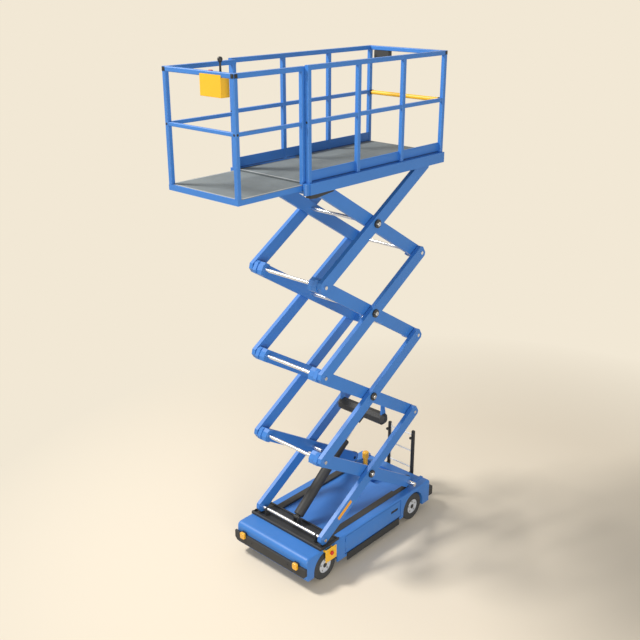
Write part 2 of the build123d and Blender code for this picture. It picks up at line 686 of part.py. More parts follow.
def bar_x(x0, x1, y, z, w):
    return soft_box(x0, x1, y - w / 2, y + w / 2, z - w / 2, z + w / 2, w * 0.16, Axis.X)


def bar_y(x, y0, y1, z, w):
    return soft_box(x - w / 2, x + w / 2, y0, y1, z - w / 2, z + w / 2, w * 0.16, Axis.Y)


def guardrails():
    h = TUBE / 2
    parts = []
    for sy in (1, -1):
        y = sy * POST_Y
        parts += [post(x, y, PLAT_TOP, RAIL_Z, TUBE) for x in POST_X]
        parts.append(bar_x(POST_X[-1] - h, POST_X[0] + h, y, RAIL_Z, TUBE))
        parts.append(bar_x(POST_X[-1], POST_X[0], y, MID_Z, MID_TUBE))
    parts.append(bar_y(POST_X[-1], -POST_Y - h, POST_Y + h, RAIL_Z, TUBE))
    return joined(parts)


def toe_boards():
    """Panels between the posts, each with a rolled top edge."""
    out = []
    y = STRIP_IN + 4
    for k in range(POST_GAPS):
        x0, x1 = POST_X[k + 1] + TUBE / 2, POST_X[k] - TUBE / 2
        for sy in (1, -1):
            s = side_box(x0, x1, sy, y, y + 5, PLAT_TOP + TOE_GAP, PLAT_TOP + TOE_H)
            s += side_box(x0, x1, sy, y, y + 2, PLAT_TOP, PLAT_TOP + TOE_GAP)
            out.append(s + rod_x(sy * (y + 6), PLAT_TOP + TOE_H - 6, 6, x0, x1))
    return out


def platform_brackets():
    """Hangers of the top pivots, deeper towards the front, and the top shoes' slide tracks."""
    out = []
    z1 = PLAT_TOP - STRIP_T
    under = FLOOR_LIFT - SIDE_H - 0.5
    pts = [(-100, -29), (160, -57), (238, -50), (238, under), (205, under), (205, z1 - TOP_PIVOT_Z),
           (-100, z1 - TOP_PIVOT_Z)]
    for sy in (1, -1):
        ya, yb = sorted((sy * (A_IN + 15), sy * (PLAT_HALF - SIDE_T)))
        s = slab([(FRONT_X + u, TOP_PIVOT_Z + v) for u, v in pts], ya, yb)
        s -= rod_y(FRONT_X, TOP_PIVOT_Z, SHAFT_R + RUN, ya - 5, yb + 5)
        out.append(s)
        out.append(side_box(PLAT_REAR + 9, -60, sy, A_IN - 5, A_OUT + 5, TRACK_Z, z1))
    return out


def document_box():
    """Flat box hung under the rear top rail."""
    x, z = POST_X[-1], RAIL_Z - TUBE / 2
    s = soft_box(x - 30, x + 30, -440, -230, z - 108, z, 8, Axis.X)
    return s - box(x - 22, x + 22, -432, -238, z - 8, z + 5)


def entry_bar():
    """Sliding bar across the rear entry, with a guide shoe at each post."""
    x = POST_X[-1]
    y = POST_Y - TUBE / 2
    s = rod_y(x, MID_Z - 4, ENTRY_R, 0.3 - y, y - 0.3)
    for sy in (1, -1):
        s += side_box(x - 22, x + 22, sy, y - 26, y - 0.3, MID_Z - 30, MID_Z + 22)
    return s


# Roll-out deck

def deck_frame():
    zt = EXT_TOP - EXT_PLATE
    post_in = EXT_POST_Y - EXT_TUBE / 2
    parts = [box(EXT_FRONT - EXT_SIDE_T, EXT_FRONT, -EXT_HALF, EXT_HALF, EXT_BOT, zt),
             box(EXT_FRONT - EXT_SIDE_T, EXT_FRONT, 1 - post_in, post_in - 1, EXT_BOT, EXT_TOP)]
    for sy in (1, -1):
        parts.append(side_box(EXT_REAR, EXT_FRONT, sy, EXT_HALF - EXT_SIDE_T, EXT_HALF, EXT_BOT, zt))
        parts.append(side_box(RUNNER_REAR, EXT_FRONT, sy, RUNNER_Y0, RUNNER_Y1, RUNNER_Z, zt))
        for x in (EXT_POST_REAR, EXT_POST_FRONT):
            parts.append(side_box(x - EXT_TUBE / 2, x + EXT_TUBE / 2, sy, B_OUT + 6, EXT_HALF, zt - 12, zt))
    parts.append(box(EXT_FRONT - 434, EXT_FRONT - 374, -300, 300, RUNNER_Z, zt))
    return joined(parts)


def deck_floor():
    """Floor mat of the roll-out deck, notched round the posts."""
    s = box(EXT_REAR - 60, EXT_FRONT - EXT_SIDE_T, -EXT_HALF, EXT_HALF, EXT_TOP - EXT_PLATE, EXT_TOP)
    h = EXT_TUBE / 2 + 1
    for sy in (1, -1):
        for x in (EXT_POST_REAR, EXT_POST_FRONT):
            s -= side_box(x - h, x + h, sy, EXT_POST_Y - h, EXT_HALF + 5, EXT_TOP - EXT_PLATE - 1, EXT_TOP + 1)
    return s


def deck_rails():
    w = EXT_TUBE
    xf = EXT_POST_FRONT
    parts = []
    for sy in (1, -1):
        y = sy * EXT_POST_Y
        parts += [post(x, y, EXT_TOP - EXT_PLATE, EXT_RAIL_Z, w) for x in (EXT_POST_REAR, xf)]
        parts.append(bar_x(EXT_POST_REAR - w / 2, xf + w / 2, y, EXT_RAIL_Z, w))
        parts.append(bar_x(EXT_POST_REAR, xf, y, EXT_MID_Z, EXT_MID_TUBE))
    parts.append(bar_y(xf, -EXT_POST_Y - w / 2, EXT_POST_Y + w / 2, EXT_RAIL_Z, w))
    parts.append(bar_y(xf, -EXT_POST_Y, EXT_POST_Y, EXT_MID_Z, EXT_MID_TUBE))
    return joined(parts)


BOX_TOP = EXT_RAIL_Z - EXT_TUBE / 2 - 2
BOX_FRONT = EXT_FRONT + 6.5


def control_box():
    """Control box hung under the front rail, its front plate lapping the rail."""
    s = soft_box(BOX_FRONT - 102, BOX_FRONT, BOX_Y0, BOX_Y1, BOX_TOP - 173, BOX_TOP, 5, Axis.Y)
    s += soft_box(EXT_FRONT + 0.5, BOX_FRONT, BOX_Y0, BOX_Y1, BOX_TOP - 40, BOX_TOP + 24, 5, Axis.X)
    for y in (BOX_Y0 + 56, BOX_Y1 - 58):
        s += box(BOX_FRONT - 40, BOX_FRONT - 20, y - 20, y + 20, BOX_TOP - 2, BOX_TOP + 2)
    return s


STICK_X, STICK_Y = EXT_FRONT - 74, BOX_Y0 + 194
STICK_H = 140.0
BUTTON_Y = BOX_Y0 + 60


def joystick():
    """Joystick with its gaiter, and a round stop button beside it."""
    z = BOX_TOP
    s = Pos(STICK_X, STICK_Y, z + 14) * Cone(27, 15, 28) + rod_z(STICK_X, STICK_Y, 11, z + 10, z + STICK_H)
    s += Pos(STICK_X, STICK_Y, z + STICK_H + 8) * Sphere(24)
    cap = rod_z(STICK_X, BUTTON_Y, 24, z + 28, z + 50)
    cap = fillet(cap.edges().filter_by(GeomType.CIRCLE).sort_by(Axis.Z)[-1], 6)
    return [s, cap + rod_z(STICK_X, BUTTON_Y, 14, z, z + 30)]


WHEELS = (("front_left", WHEEL_X, 1), ("front_right", WHEEL_X, -1),
          ("rear_left", -WHEEL_X, 1), ("rear_right", -WHEEL_X, -1))

for i in range(1, STAGES + 1):
    save(f"outer_arms_{i}", both(lambda: outer_arm(i)))
    save(f"inner_arms_{i}", both(lambda: inner_arm(i)))
    save(f"rear_shaft_{i}", rear_shaft(i))
    save(f"front_shaft_{i}", [front_shaft(i)] + centre_pins(i))
save("foot_shaft", foot_shaft())
save("lift_crossbeam", lift_beam())
save("cylinder_barrel", barrel())
save("cylinder_rod", rod())
save("chassis_body", chassis_body())
save("batteries", battery_blocks())
save("side_door_left", side_door(1))
save("side_door_right", side_door(-1))
save("guide_rails", both(guide_rail))
save("front_channel", front_channel())
save("base_shaft", base_shaft())
save("bumpers", bumpers())
save("amber_lamps", lamps())
save("ladder", ladder())
save("side_skirts", both(skirt))
save("control_plate", control_plate())
save("stop_button", stop_button())
save("axle_brackets", axle_brackets())
save("knuckle_left", knuckle(1))
save("knuckle_right", knuckle(-1))
for name, x, sy in WHEELS:
    save(f"tyre_{name}", tyre(x, sy))
    save(f"rim_{name}", rim(x, sy))
save("platform_frame", platform_frame())
save("platform_floor", platform_floor())
save("guardrails", guardrails())
save("toe_boards", toe_boards())
save("platform_brackets", platform_brackets())
save("document_box", document_box())
save("entry_bar", entry_bar())
save("deck_frame", deck_frame())
save("deck_floor", deck_floor())
save("deck_rails", deck_rails())
save("control_box", control_box())
save("joystick", joystick())
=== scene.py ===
import math

import bpy
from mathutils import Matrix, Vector


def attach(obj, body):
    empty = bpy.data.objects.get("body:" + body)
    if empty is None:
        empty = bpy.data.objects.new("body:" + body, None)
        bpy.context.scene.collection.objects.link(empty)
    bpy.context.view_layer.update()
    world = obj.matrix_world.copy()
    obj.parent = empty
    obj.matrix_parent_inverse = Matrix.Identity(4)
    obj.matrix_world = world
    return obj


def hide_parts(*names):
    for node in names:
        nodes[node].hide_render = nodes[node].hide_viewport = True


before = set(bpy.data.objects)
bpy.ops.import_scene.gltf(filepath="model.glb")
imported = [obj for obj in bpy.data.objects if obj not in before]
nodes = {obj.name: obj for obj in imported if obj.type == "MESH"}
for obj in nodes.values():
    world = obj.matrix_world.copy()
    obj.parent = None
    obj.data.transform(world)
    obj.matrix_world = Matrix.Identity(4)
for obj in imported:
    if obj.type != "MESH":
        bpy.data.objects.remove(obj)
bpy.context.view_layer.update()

# Sizes of the machine, in metres, as in the part's own source
ARM = 1.953
ARM_DEPTH = 0.145
REST = math.radians(31.82)
RISE = ARM * math.sin(REST)
REACH = ARM * math.cos(REST)
FRONT_X = 0.815
REAR_X = FRONT_X - REACH
BASE_Z = 0.507
MID_X = (FRONT_X + REAR_X) / 2
OUTER_FACE = 0.535
WHEEL_X = 0.835
WHEEL_Z = 0.182
WHEEL_FACE = 0.572
BODY_SIDE = 0.580
TYRE_R = 0.182
RIM_R = 0.096
PLATFORM_TOP = BASE_Z + 4 * RISE + 0.101
PLATFORM_FRONT = 1.064
POST_Y = 0.5255
RAIL_Z = PLATFORM_TOP + 1.080
MID_RAIL_Z = PLATFORM_TOP + 0.579
CAGE_REAR_X = -1.1245
DECK_FRONT = 1.938
DECK_POST_X = 1.915
DECK_POST_Y = 0.473
DECK_SIDE = 0.496
DECK_RAIL_Z = PLATFORM_TOP + 1.0685
DECK_MID_Z = PLATFORM_TOP + 0.564
BOX_TOP = DECK_RAIL_Z - 0.025
STICK_X, STICK_Y = 1.864, 0.241
BUTTON_Y = 0.107


# Making pieces

def clear():
    if bpy.context.object and bpy.context.object.mode != "OBJECT":
        bpy.ops.object.mode_set(mode="OBJECT")
    bpy.ops.object.select_all(action="DESELECT")


def settle(obj, name, body, finish):
    """Fixes the piece in place, names it, and sets it on its body."""
    clear()
    obj.select_set(True)
    bpy.context.view_layer.objects.active = obj
    bpy.ops.object.transform_apply(location=True, rotation=True, scale=True)
    obj.name = name
    obj.data.name = name
    obj.data.materials.clear()
    obj.data.materials.append(finish)
    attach(obj, body)
    return obj


def soften(obj, width, segments=2, angle=35.0):
    clear()
    obj.select_set(True)
    bpy.context.view_layer.objects.active = obj
    bpy.ops.object.transform_apply(location=True, rotation=True, scale=True)
    mod = obj.modifiers.new("soft", "BEVEL")
    mod.width = width
    mod.segments = segments
    mod.limit_method = "ANGLE"
    mod.angle_limit = math.radians(angle)
    mod.harden_normals = False
    bpy.ops.object.modifier_apply(modifier=mod.name)
    bpy.ops.object.shade_smooth_by_angle(angle=math.radians(35))
    return obj


def block(lo, hi):
    """A cube stretched from corner lo to corner hi."""
    clear()
    mid = [(a + b) / 2 for a, b in zip(lo, hi)]
    bpy.ops.mesh.primitive_cube_add(size=1, location=mid)
    obj = bpy.context.object
    obj.scale = [b - a for a, b in zip(lo, hi)]
    bpy.ops.object.transform_apply(location=True, rotation=True, scale=True)
    return obj


TURN = {"X": (0, math.pi / 2, 0), "Y": (math.pi / 2, 0, 0), "Z": (0, 0, 0)}


def drum(centre, axis, radius, depth, around=40):
    clear()
    bpy.ops.mesh.primitive_cylinder_add(vertices=around, radius=radius, depth=depth,
                                        location=centre, rotation=TURN[axis])
    bpy.ops.object.transform_apply(location=True, rotation=True, scale=True)
    return bpy.context.object


def pick(obj, test):
    """Selects the faces whose centre and normal pass the test, in edit mode."""
    clear()
    obj.select_set(True)
    bpy.context.view_layer.objects.active = obj
    bpy.ops.object.mode_set(mode="EDIT")
    bpy.ops.mesh.select_mode(type="FACE")
    bpy.ops.mesh.select_all(action="DESELECT")
    bpy.ops.object.mode_set(mode="OBJECT")
    for face in obj.data.polygons:
        face.select = bool(test(face.center, face.normal))
    bpy.ops.object.mode_set(mode="EDIT")


def step_face(obj, test, inset, move):
    """Insets the picked faces and pushes them by move."""
    pick(obj, test)
    bpy.ops.mesh.inset(thickness=inset, depth=0)
    bpy.ops.mesh.extrude_region_move(TRANSFORM_OT_translate={"value": move})
    bpy.ops.object.mode_set(mode="OBJECT")
    return obj


def joined(parts):
    clear()
    for p in parts:
        p.select_set(True)
    bpy.context.view_layer.objects.active = parts[0]
    bpy.ops.object.join()
    return bpy.context.object


AXES = {"X": (1, 0, 0), "Y": (0, 1, 0), "Z": (0, 0, 1)}


def lathe(profile, centre, axis, steps=64, smooth=32):
    """Turns a profile of (radius, height) points about an axis through centre."""
    c = Vector(centre)
    up = Vector(AXES[axis])
    out = Vector((0, 0, 1)) if axis == "X" else Vector((1, 0, 0))
    points = [c + out * r + up * h for r, h in profile]
    clear()
    bpy.ops.mesh.primitive_plane_add(size=0.001, location=points[0])
    obj = bpy.context.object
    bpy.ops.object.transform_apply(location=True, rotation=True, scale=True)
    bpy.ops.object.mode_set(mode="EDIT")
    bpy.ops.mesh.select_mode(type="VERT")
    bpy.ops.mesh.select_all(action="SELECT")
    bpy.ops.mesh.merge(type="CENTER")
    for a, b in zip(points, points[1:]):
        bpy.ops.mesh.extrude_vertices_move(TRANSFORM_OT_translate={"value": b - a})
    bpy.ops.mesh.select_all(action="SELECT")
    bpy.ops.mesh.remove_doubles(threshold=0.00001)
    bpy.ops.mesh.spin(steps=steps, angle=2 * math.pi, center=c, axis=up)
    bpy.ops.mesh.select_all(action="SELECT")
    bpy.ops.mesh.remove_doubles(threshold=0.00002)
    bpy.ops.mesh.normals_make_consistent(inside=False)
    bpy.ops.object.mode_set(mode="OBJECT")
    bpy.ops.object.shade_smooth_by_angle(angle=math.radians(smooth))
    return obj


def copied(obj, move):
    """A copy with its own mesh, shifted by move."""
    new = obj.copy()
    new.data = obj.data.copy()
    bpy.context.collection.objects.link(new)
    new.location = Vector(move)
    return new


def in_row(obj, moves):
    """The piece and its copies at each move, as one piece."""
    return joined([obj] + [copied(obj, m) for m in moves])


def plate(lo, hi, face, inset=0.003, sink=0.0008, edge=0.0012):
    """A thin plate with softened edges and a shallow sunk panel on the face that looks along face."""
    n = Vector(face)
    obj = block(lo, hi)
    step_face(obj, lambda c, normal: normal.dot(n) > 0.9, inset, n * -sink)
    return soften(obj, edge, 2)


def arm_point(u, v, y):
    """A point on the lowest left outer arm, u along it from its foot and v above its middle line."""
    s, c = math.sin(REST), math.cos(REST)
    return (FRONT_X - u * c + v * s, y, BASE_Z + u * s + v * c)


# Finishes

def new_finish(name):
    mat = bpy.data.materials.new(name)
    mat.use_nodes = True
    nt = mat.node_tree
    bsdf = nt.nodes["Principled BSDF"]
    coord = nt.nodes.new("ShaderNodeTexCoord")
    return mat, nt, bsdf, coord


def linear(rgb):
    out = []
    for c in rgb:
        c /= 255
        out.append(c / 12.92 if c <= 0.04045 else ((c + 0.055) / 1.055) ** 2.4)
    return (*out, 1.0)


def noise(nt, coord, scale, detail=3.0, rough=0.5):
    n = nt.nodes.new("ShaderNodeTexNoise")
    n.inputs["Scale"].default_value = scale
    n.inputs["Detail"].default_value = detail
    n.inputs["Roughness"].default_value = rough
    nt.links.new(coord.outputs["Object"], n.inputs["Vector"])
    return n


def ramp(nt, source, low, high):
    m = nt.nodes.new("ShaderNodeMapRange")
    m.inputs["From Min"].default_value = low
    m.inputs["From Max"].default_value = high
    nt.links.new(source, m.inputs["Value"])
    return m.outputs["Result"]


def mix(nt, factor, a, b):
    m = nt.nodes.new("ShaderNodeMix")
    m.data_type = "RGBA"
    for value, key in ((a, 6), (b, 7)):
        if isinstance(value, tuple):
            m.inputs[key].default_value = value
        else:
            nt.links.new(value, m.inputs[key])
    nt.links.new(factor, m.inputs[0])
    return m.outputs[2]


def bump(nt, height, strength, distance):
    b = nt.nodes.new("ShaderNodeBump")
    b.inputs["Strength"].default_value = strength
    b.inputs["Distance"].default_value = distance
    nt.links.new(height, b.inputs["Height"])
    return b


def multiplied(nt, outputs):
    m = outputs[0]
    for other in outputs[1:]:
        j = nt.nodes.new("ShaderNodeMath")
        j.operation = "MULTIPLY"
        nt.links.new(m, j.inputs[0])
        nt.links.new(other, j.inputs[1])
        m = j.outputs[0]
    return m


def paint(name, rgb, roughness, grain=0.04, peel=0.12, dust=0.0, second=None, bands=()):
    """Sprayed paint: a slight drift of colour, orange peel, and dust low down.
    Where all of the bands apply, the paint is the second colour."""
    mat, nt, bsdf, coord = new_finish(name)
    base = linear(rgb)
    dark = tuple(c * (1 - grain) for c in base[:3]) + (1.0,)
    light = tuple(min(1.0, c * (1 + grain)) for c in base[:3]) + (1.0,)
    drift = ramp(nt, noise(nt, coord, 2.3, 4).outputs["Fac"], 0.3, 0.7)
    colour = mix(nt, drift, dark, light)
    if dust:
        sep = nt.nodes.new("ShaderNodeSeparateXYZ")
        nt.links.new(coord.outputs["Object"], sep.inputs[0])
        low = ramp(nt, sep.outputs["Z"], 0.34, 0.08)
        spots = ramp(nt, noise(nt, coord, 9.0, 6, 0.7).outputs["Fac"], 0.35, 0.75)
        f = nt.nodes.new("ShaderNodeMath")
        f.operation = "MULTIPLY"
        nt.links.new(low, f.inputs[0])
        nt.links.new(spots, f.inputs[1])
        g = nt.nodes.new("ShaderNodeMath")
        g.operation = "MULTIPLY"
        g.inputs[1].default_value = dust
        nt.links.new(f.outputs[0], g.inputs[0])
        colour = mix(nt, g.outputs[0], colour, linear((150, 140, 124)))
    if bands:
        colour = mix(nt, multiplied(nt, [in_band(nt, coord, *b) for b in bands]), colour, linear(second))
    nt.links.new(colour, bsdf.inputs["Base Color"])
    r = nt.nodes.new("ShaderNodeMapRange")
    r.inputs["To Min"].default_value = roughness - 0.05
    r.inputs["To Max"].default_value = roughness + 0.07
    nt.links.new(noise(nt, coord, 7.0, 5, 0.65).outputs["Fac"], r.inputs["Value"])
    nt.links.new(r.outputs["Result"], bsdf.inputs["Roughness"])
    skin = bump(nt, noise(nt, coord, 190.0, 2).outputs["Fac"], peel, 0.0006)
    nt.links.new(skin.outputs["Normal"], bsdf.inputs["Normal"])
    return mat


def in_band(nt, coord, axis, lo, hi, centre=0.0):
    """1 where the distance from centre along an axis lies between lo and hi."""
    sep = nt.nodes.new("ShaderNodeSeparateXYZ")
    nt.links.new(coord.outputs["Object"], sep.inputs[0])
    d = nt.nodes.new("ShaderNodeMath")
    d.operation = "SUBTRACT"
    d.inputs[1].default_value = centre
    nt.links.new(sep.outputs[axis], d.inputs[0])
    a = nt.nodes.new("ShaderNodeMath")
    a.operation = "ABSOLUTE"
    nt.links.new(d.outputs[0], a.inputs[0])
    over = nt.nodes.new("ShaderNodeMath")
    over.operation = "GREATER_THAN"
    over.inputs[1].default_value = lo
    under = nt.nodes.new("ShaderNodeMath")
    under.operation = "LESS_THAN"
    under.inputs[1].default_value = hi
    both = nt.nodes.new("ShaderNodeMath")
    both.operation = "MULTIPLY"
    nt.links.new(a.outputs[0], over.inputs[0])
    nt.links.new(a.outputs[0], under.inputs[0])
    nt.links.new(over.outputs[0], both.inputs[0])
    nt.links.new(under.outputs[0], both.inputs[1])
    return both.outputs[0]


def steel(name, rgb=(196, 199, 204), roughness=0.22, black=()):
    """Plated bar, nearly even. black lists bands (axis, from, to, centre) that are plastic; all must apply."""
    mat, nt, bsdf, coord = new_finish(name)
    base = linear(rgb)
    low = tuple(c * 0.95 for c in base[:3]) + (1.0,)
    fine = noise(nt, coord, 3.0, 2, 0.4).outputs["Fac"]
    colour = mix(nt, ramp(nt, fine, 0.3, 0.7), low, base)
    metal = None
    if black:
        m = multiplied(nt, [in_band(nt, coord, *b) for b in black])
        colour = mix(nt, m, colour, linear((44, 46, 48)))
        inv = nt.nodes.new("ShaderNodeMath")
        inv.operation = "SUBTRACT"
        inv.inputs[0].default_value = 1.0
        nt.links.new(m, inv.inputs[1])
        metal = inv.outputs[0]
    nt.links.new(colour, bsdf.inputs["Base Color"])
    if metal:
        nt.links.new(metal, bsdf.inputs["Metallic"])
    else:
        bsdf.inputs["Metallic"].default_value = 1.0
    r = nt.nodes.new("ShaderNodeMapRange")
    r.inputs["To Min"].default_value = roughness
    r.inputs["To Max"].default_value = roughness + 0.04
    nt.links.new(fine, r.inputs["Value"])
    nt.links.new(r.outputs["Result"], bsdf.inputs["Roughness"])
    return mat


def plastic(name, rgb, roughness=0.5, pebble=0.25, scale=420.0):
    mat, nt, bsdf, coord = new_finish(name)
    base = linear(rgb)
    low = tuple(c * 0.9 for c in base[:3]) + (1.0,)
    nt.links.new(mix(nt, ramp(nt, noise(nt, coord, 12.0, 4).outputs["Fac"], 0.3, 0.7), low, base),
                 bsdf.inputs["Base Color"])
    bsdf.inputs["Roughness"].default_value = roughness
    skin = bump(nt, noise(nt, coord, scale, 2).outputs["Fac"], pebble, 0.0004)
    nt.links.new(skin.outputs["Normal"], bsdf.inputs["Normal"])
    return mat


def rubber(name, rgb=(58, 60, 63)):
    mat, nt, bsdf, coord = new_finish(name)
    base = linear(rgb)
    scuffed = linear((92, 91, 88))
    worn = ramp(nt, noise(nt, coord, 30.0, 6, 0.7).outputs["Fac"], 0.5, 0.8)
    half = nt.nodes.new("ShaderNodeMath")
    half.operation = "MULTIPLY"
    half.inputs[1].default_value = 0.45
    nt.links.new(worn, half.inputs[0])
    nt.links.new(mix(nt, half.outputs[0], base, scuffed), bsdf.inputs["Base Color"])
    bsdf.inputs["Roughness"].default_value = 0.78
    skin = bump(nt, noise(nt, coord, 260.0, 3).outputs["Fac"], 0.35, 0.0006)
    nt.links.new(skin.outputs["Normal"], bsdf.inputs["Normal"])
    return mat


def lens(name, rgb):
    mat, nt, bsdf, coord = new_finish(name)
    base = linear(rgb)
    deep = (base[0] * 0.86, base[1] * 0.7, base[2] * 0.6, 1.0)
    ribs = nt.nodes.new("ShaderNodeTexWave")
    ribs.bands_direction = "Z"
    ribs.inputs["Scale"].default_value = 55.0
    nt.links.new(coord.outputs["Object"], ribs.inputs["Vector"])
    nt.links.new(mix(nt, ribs.outputs["Fac"], base, deep), bsdf.inputs["Base Color"])
    bsdf.inputs["Roughness"].default_value = 0.18
    bsdf.inputs["Coat Weight"].default_value = 0.6
    nt.links.new(bump(nt, ribs.outputs["Fac"], 0.5, 0.0015).outputs["Normal"], bsdf.inputs["Normal"])
    return mat


def grit_floor(name, rgb, rim=()):
    """Grey anti-slip mat with fine grit. rim lists bands of its paler edge, any of which applies."""
    mat, nt, bsdf, coord = new_finish(name)
    base = linear(rgb)
    low = tuple(c * 0.8 for c in base[:3]) + (1.0,)
    scuff = ramp(nt, noise(nt, coord, 3.0, 6, 0.7).outputs["Fac"], 0.35, 0.7)
    grit = noise(nt, coord, 320.0, 2)
    colour = mix(nt, scuff, low, base)
    specks = ramp(nt, grit.outputs["Fac"], 0.62, 0.75)
    colour = mix(nt, specks, colour, linear(tuple(min(255, c + 26) for c in rgb)))
    for band in rim:
        colour = mix(nt, in_band(nt, coord, *band), colour, linear((176, 180, 182)))
    nt.links.new(colour, bsdf.inputs["Base Color"])
    bsdf.inputs["Roughness"].default_value = 0.8
    nt.links.new(bump(nt, grit.outputs["Fac"], 0.6, 0.0012).outputs["Normal"], bsdf.inputs["Normal"])
    return mat


BLUE_RGB = (60, 126, 208)
CHARCOAL_RGB = (46, 48, 51)
blue = paint("blue_paint_finish", BLUE_RGB, 0.42, dust=0.3)
blue_high = paint("blue_rail_finish", BLUE_RGB, 0.40)
# The lowest 8.5 mm of the toe boards is a darker blue: painted shade, the dark line of the shadowed gap under the
# boards.
toe_blue_painted_shade_band = paint("toe_board_paint_with_painted_shade_band", BLUE_RGB, 0.42, second=(34, 70, 128), bands=(("Z", -1.0, 0.0085, PLATFORM_TOP),))
charcoal = paint("charcoal_finish", CHARCOAL_RGB, 0.56)
rail_charcoal = paint("guide_rail_finish", CHARCOAL_RGB, 0.5, second=BLUE_RGB, bands=(("X", -1.0, 0.33, -1.20),))
ladder_paint = paint("ladder_finish", (40, 42, 44), 0.45, second=(244, 245, 247), bands=(("Y", -1.0, 0.1705, 0.022),))
yellow = paint("yellow_finish", (247, 190, 43), 0.42)
bar_yellow = paint("entry_bar_finish", (247, 190, 43), 0.42, second=(44, 46, 48), bands=(("Y", 0.4755, 0.6, 0.0),))
orange_strip = paint("orange_strip_finish", (240, 170, 52), 0.5)
rim_grey = paint("rim_finish", (202, 207, 216), 0.35)
chrome = steel("chrome_finish", (226, 228, 232), 0.24)
alloy = paint("nosing_finish", (176, 181, 184), 0.5)
zinc = steel("zinc_bolt_finish", (186, 188, 190), 0.32)
pin_steel = steel("pin_and_washer_finish", (226, 228, 232), 0.24,
                  black=(("X", -1.0, 0.062, MID_X), ("Y", 0.5352, 0.5551, 0.0)))
foot_steel = steel("foot_shaft_finish", (226, 228, 232), 0.24, black=(("Y", 0.420, 0.4752, 0.0),))
top_steel = steel("top_shaft_finish", (226, 228, 232), 0.24, black=(("Y", 0.490, 0.530, 0.0),))
black_plastic = plastic("black_moulding", (40, 42, 44), 0.5)
cap_plastic = plastic("black_cap_moulding", (21, 22, 24), 0.45)
red_plastic = plastic("red_button_moulding", (214, 40, 34), 0.3, pebble=0.05)
amber = lens("amber_lens_finish", (255, 196, 40))
tyre_rubber = rubber("tyre_rubber")
grey_floor = grit_floor("main_deck_grit", (119, 128, 133))
roll_floor = grit_floor("roll_out_deck_grit", (119, 128, 133),
                        rim=(("Y", 0.476, 0.492, 0.0), ("X", 0.0, 0.009, 1.912)))


def dress(finish, *names):
    for name in names:
        for s in nodes[name].material_slots:
            s.material = finish


stages = range(1, 5)
dress(blue, "chassis_body", "side_door_left", "side_door_right")
dress(blue_high, "platform_frame", "guardrails", "deck_frame", "deck_rails",
      *[f"outer_arms_{i}" for i in stages], *[f"inner_arms_{i}" for i in stages])
dress(charcoal, "front_channel", "bumpers", "side_skirts", "lift_crossbeam", "cylinder_barrel",
      "platform_brackets", "document_box", "axle_brackets", "knuckle_left", "knuckle_right")
dress(rail_charcoal, "guide_rails")
dress(toe_blue_painted_shade_band, "toe_boards")
dress(ladder_paint, "ladder")
dress(chrome, "base_shaft", "cylinder_rod", *[f"rear_shaft_{i}" for i in range(1, 4)])
dress(top_steel, "rear_shaft_4")
dress(foot_steel, "foot_shaft")
dress(pin_steel, *[f"front_shaft_{i}" for i in stages])
dress(amber, "amber_lamps")
dress(yellow, "control_plate", "control_box")
dress(bar_yellow, "entry_bar")
dress(red_plastic, "stop_button")
dress(black_plastic, "joystick", "batteries")
dress(grey_floor, "platform_floor")
dress(roll_floor, "deck_floor")
WHEELS = (("front_left", WHEEL_X, 1), ("front_right", WHEEL_X, -1),
          ("rear_left", -WHEEL_X, 1), ("rear_right", -WHEEL_X, -1))
for place, x, side in WHEELS:
    dress(tyre_rubber, f"tyre_{place}")
    dress(rim_grey, f"rim_{place}")


# Wheels

TYRE_SHAPE = [(0.0960, 0.003), (0.1000, 0.0), (0.1200, 0.0), (0.1600, 0.0012), (0.1730, 0.0050), (0.1800, 0.0100),
              (0.1820, 0.0170), (0.1820, 0.0330), (0.1770, 0.0340), (0.1770, 0.0400), (0.1820, 0.0410),
              (0.1820, 0.0690), (0.1770, 0.0700), (0.1770, 0.0760), (0.1820, 0.0770), (0.1820, 0.0930),
              (0.1800, 0.1000), (0.1730, 0.1050), (0.1620, 0.1085), (0.1560, 0.1076), (0.1520, 0.1090),
              (0.1240, 0.1100), (0.1200, 0.1088), (0.1120, 0.1088), (0.1080, 0.1100), (0.1000, 0.1100),
              (0.0960, 0.1070), (0.0960, 0.003)]


def tyre(place, x, side):
    """Solid tyre with two tread grooves and a ring round its wall."""
    shape = [(r, side * (0.462 + h)) for r, h in TYRE_SHAPE]
    obj = lathe(shape, (x, 0, WHEEL_Z), "Y", steps=80, smooth=28)
    settle(obj, f"tyre_tread_{place}", f"wheel_{place}", tyre_rubber)
    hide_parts(f"tyre_{place}")


def wheel_nuts(place, x, side):
    """Five nuts with washers, between the hub and the rim's lip."""
    face = 0.559
    nuts = []
    first = None
    for k in range(5):
        a = 2 * math.pi * k / 5 + 0.3
        at = (x + 0.068 * math.cos(a), side * (face + 0.0045), WHEEL_Z + 0.068 * math.sin(a))
        if first is None:
            nut = drum(at, "Y", 0.0085, 0.009, 6)
            step_face(nut, lambda c, n: n.y * side > 0.9, 0.0026, (0, side * 0.003, 0))
            soften(nut, 0.0008, 2)
            washer = drum((at[0], side * (face + 0.0006), at[2]), "Y", 0.0115, 0.0014, 24)
            first = joined([nut, soften(washer, 0.0004, 1)])
            start = Vector(at)
            nuts.append(first)
        else:
            nuts.append(copied(first, Vector(at) - start))
    settle(joined(nuts), f"wheel_nuts_{place}", f"wheel_{place}", zinc)


for place, x, side in WHEELS:
    tyre(place, x, side)
    wheel_nuts(place, x, side)


# Base

strip_mid = Vector(arm_point(0.425, 0.010, OUTER_FACE + 0.0008))
clear()
bpy.ops.mesh.primitive_cube_add(size=1, location=strip_mid, rotation=(0, REST, 0))
strip = bpy.context.object
strip.scale = (0.270, 0.0016, 0.048)
bpy.ops.object.transform_apply(location=True, rotation=True, scale=True)
step_face(strip, lambda c, n: n.y > 0.9, 0.003, (0, -0.0004, 0))
settle(soften(strip, 0.0005, 1), "blank_label_strip", "outer_1", orange_strip)

